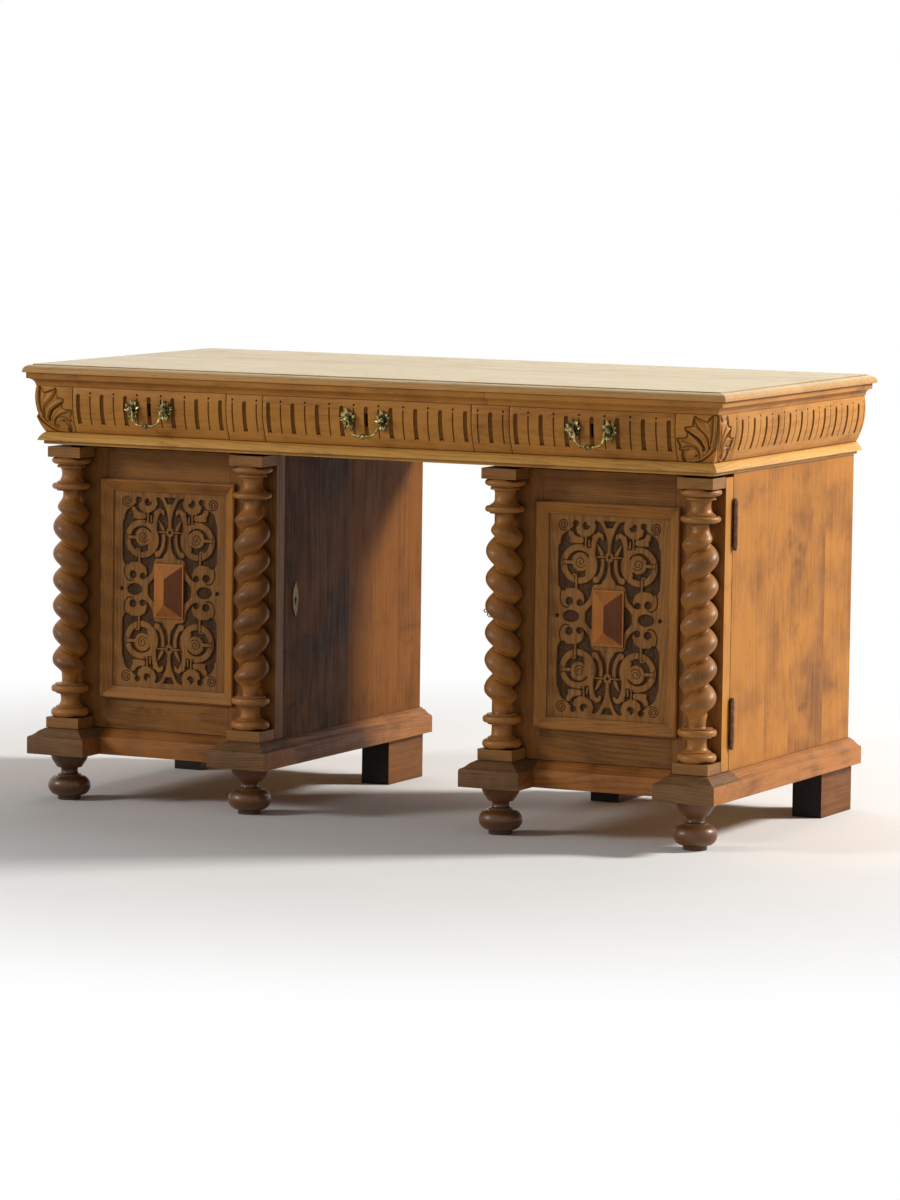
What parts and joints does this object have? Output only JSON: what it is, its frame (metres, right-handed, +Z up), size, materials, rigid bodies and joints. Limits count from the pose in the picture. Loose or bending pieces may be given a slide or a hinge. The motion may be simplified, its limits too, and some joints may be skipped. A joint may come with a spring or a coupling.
{
  "type": "pedestal desk",
  "caption": "Carved oak pedestal desk with a fluted frieze of drawers over two cupboards whose doors carry barley-twist columns, on bun feet",
  "frame": {"origin": "on the floor, under the middle of the whole desk seen in plan, handles included", "axes": "+X to the right of the sitter's side seen from the front, +Y to the back, +Z up; drawers open towards -Y"},
  "size_m": [1.371, 0.7032, 0.79],
  "materials": {
    "oak_top": "worn pale oak, washed and lightly waxed",
    "oak_case": "aged golden oak, waxed, with quarter-sawn figure",
    "oak_moulding": "lighter golden oak, waxed",
    "oak_column": "dark red-brown turned oak, polished",
    "oak_carved": "carved oak with a dark punched ground",
    "oak_boss": "reddish-brown polished block",
    "oak_plinth": "oak, worn grey-brown on its front blocks",
    "oak_inner": "darker oak, dry",
    "secondary_wood": "unfinished pine or oak inside the case",
    "aged_brass": "cast brass with a dark green-brown patina",
    "old_steel": "dark oiled steel"
  },
  "bodies": {
    "case": {"desktop": "oak_top", "cornice_front": "oak_case", "cornice_sides": "oak_case", "lower_moulding": "oak_moulding", "frieze_corners": "oak_case", "frieze_sides": "oak_case", "frieze_stiles": "oak_case", "case_bottom": "oak_inner", "top_rails": "secondary_wood", "case_back": "oak_inner", "drawer_partitions": "secondary_wood", "drawer_guides": "secondary_wood", "pedestal_outer_sides": "oak_case", "pedestal_inner_sides": "oak_inner", "pedestal_backs": "oak_inner", "pedestal_boards": "secondary_wood", "pedestal_shelves": "secondary_wood", "shelf_cleats": "secondary_wood", "plinths": "oak_plinth", "bun_feet": "oak_column", "rear_feet": "oak_inner", "hinge_case_leaves": "old_steel", "hinge_pins": "old_steel", "door_lock_cases": "old_steel", "escutcheons": "aged_brass"},
    "drawer_left": {"drawer_left_front": "oak_case", "drawer_left_box": "secondary_wood", "drawer_left_lock": "old_steel", "handle_left_roses": "aged_brass"},
    "drawer_left_bolt": {"drawer_left_bolt": "old_steel"},
    "handle_left": {"handle_left_bail": "aged_brass"},
    "drawer_centre": {"drawer_centre_front": "oak_case", "drawer_centre_box": "secondary_wood", "drawer_centre_lock": "old_steel", "handle_centre_roses": "aged_brass"},
    "drawer_centre_bolt": {"drawer_centre_bolt": "old_steel"},
    "handle_centre": {"handle_centre_bail": "aged_brass"},
    "drawer_right": {"drawer_right_front": "oak_case", "drawer_right_box": "secondary_wood", "drawer_right_lock": "old_steel", "handle_right_roses": "aged_brass"},
    "drawer_right_bolt": {"drawer_right_bolt": "old_steel"},
    "handle_right": {"handle_right_bail": "aged_brass"},
    "door_left": {"door_left_frame": "oak_case", "door_left_panel": "oak_carved", "door_left_moulding": "oak_case", "door_left_boss": "oak_boss", "door_left_columns": "oak_column", "door_left_hinge_leaves": "old_steel", "door_left_staple": "old_steel"},
    "door_left_bolt": {"door_left_bolt": "old_steel"},
    "door_right": {"door_right_frame": "oak_case", "door_right_panel": "oak_carved", "door_right_moulding": "oak_case", "door_right_boss": "oak_boss", "door_right_columns": "oak_column", "door_right_hinge_leaves": "old_steel", "door_right_staple": "old_steel"},
    "door_right_bolt": {"door_right_bolt": "old_steel"},
    "key": {"key": "old_steel"}
  },
  "joints": [
    {"name": "drawer_left_slide", "type": "slide", "parent": "case", "child": "drawer_left", "axis": [0, -1, 0], "range_m": [0, 0.4]},
    {"name": "drawer_left_lock_throw", "type": "slide", "parent": "drawer_left", "child": "drawer_left_bolt", "axis": [0, 0, 1], "range_m": [0, 0.009]},
    {"name": "handle_left_swing", "type": "hinge", "parent": "drawer_left", "child": "handle_left", "pos_m": [-0.43229, -0.34713, 0.716], "axis": [-1, 0, 0], "range_deg": [-15, 150]},
    {"name": "drawer_centre_slide", "type": "slide", "parent": "case", "child": "drawer_centre", "axis": [0, -1, 0], "range_m": [0, 0.4]},
    {"name": "drawer_centre_lock_throw", "type": "slide", "parent": "drawer_centre", "child": "drawer_centre_bolt", "axis": [0, 0, 1], "range_m": [0, 0.009]},
    {"name": "handle_centre_swing", "type": "hinge", "parent": "drawer_centre", "child": "handle_centre", "pos_m": [0, -0.34713, 0.716], "axis": [-1, 0, 0], "range_deg": [-15, 150]},
    {"name": "drawer_right_slide", "type": "slide", "parent": "case", "child": "drawer_right", "axis": [0, -1, 0], "range_m": [0, 0.4]},
    {"name": "drawer_right_lock_throw", "type": "slide", "parent": "drawer_right", "child": "drawer_right_bolt", "axis": [0, 0, 1], "range_m": [0, 0.009]},
    {"name": "handle_right_swing", "type": "hinge", "parent": "drawer_right", "child": "handle_right", "pos_m": [0.43229, -0.34713, 0.716], "axis": [-1, 0, 0], "range_deg": [-15, 150]},
    {"name": "door_left_swing", "type": "hinge", "parent": "case", "child": "door_left", "pos_m": [-0.6561, -0.22512, 0.3855], "axis": [0, 0, -1], "range_deg": [0, 135]},
    {"name": "door_left_lock_throw", "type": "slide", "parent": "case", "child": "door_left_bolt", "axis": [0, 0, -1], "range_m": [0, 0.012]},
    {"name": "door_right_swing", "type": "hinge", "parent": "case", "child": "door_right", "pos_m": [0.6561, -0.22512, 0.3855], "axis": [0, 0, 1], "range_deg": [0, 135]},
    {"name": "door_right_lock_throw", "type": "slide", "parent": "case", "child": "door_right_bolt", "axis": [0, 0, -1], "range_m": [0, 0.012]},
    {"name": "key_turn", "type": "hinge", "parent": "case", "child": "key", "pos_m": [0.2137, -0.18388, 0.378], "axis": [1, 0, 0], "range_deg": [0, 90]}
  ],
  "couplings": [
    {"joint": "key_turn", "follows": "door_right_lock_throw", "rad_per_m": 130.89}
  ]
}
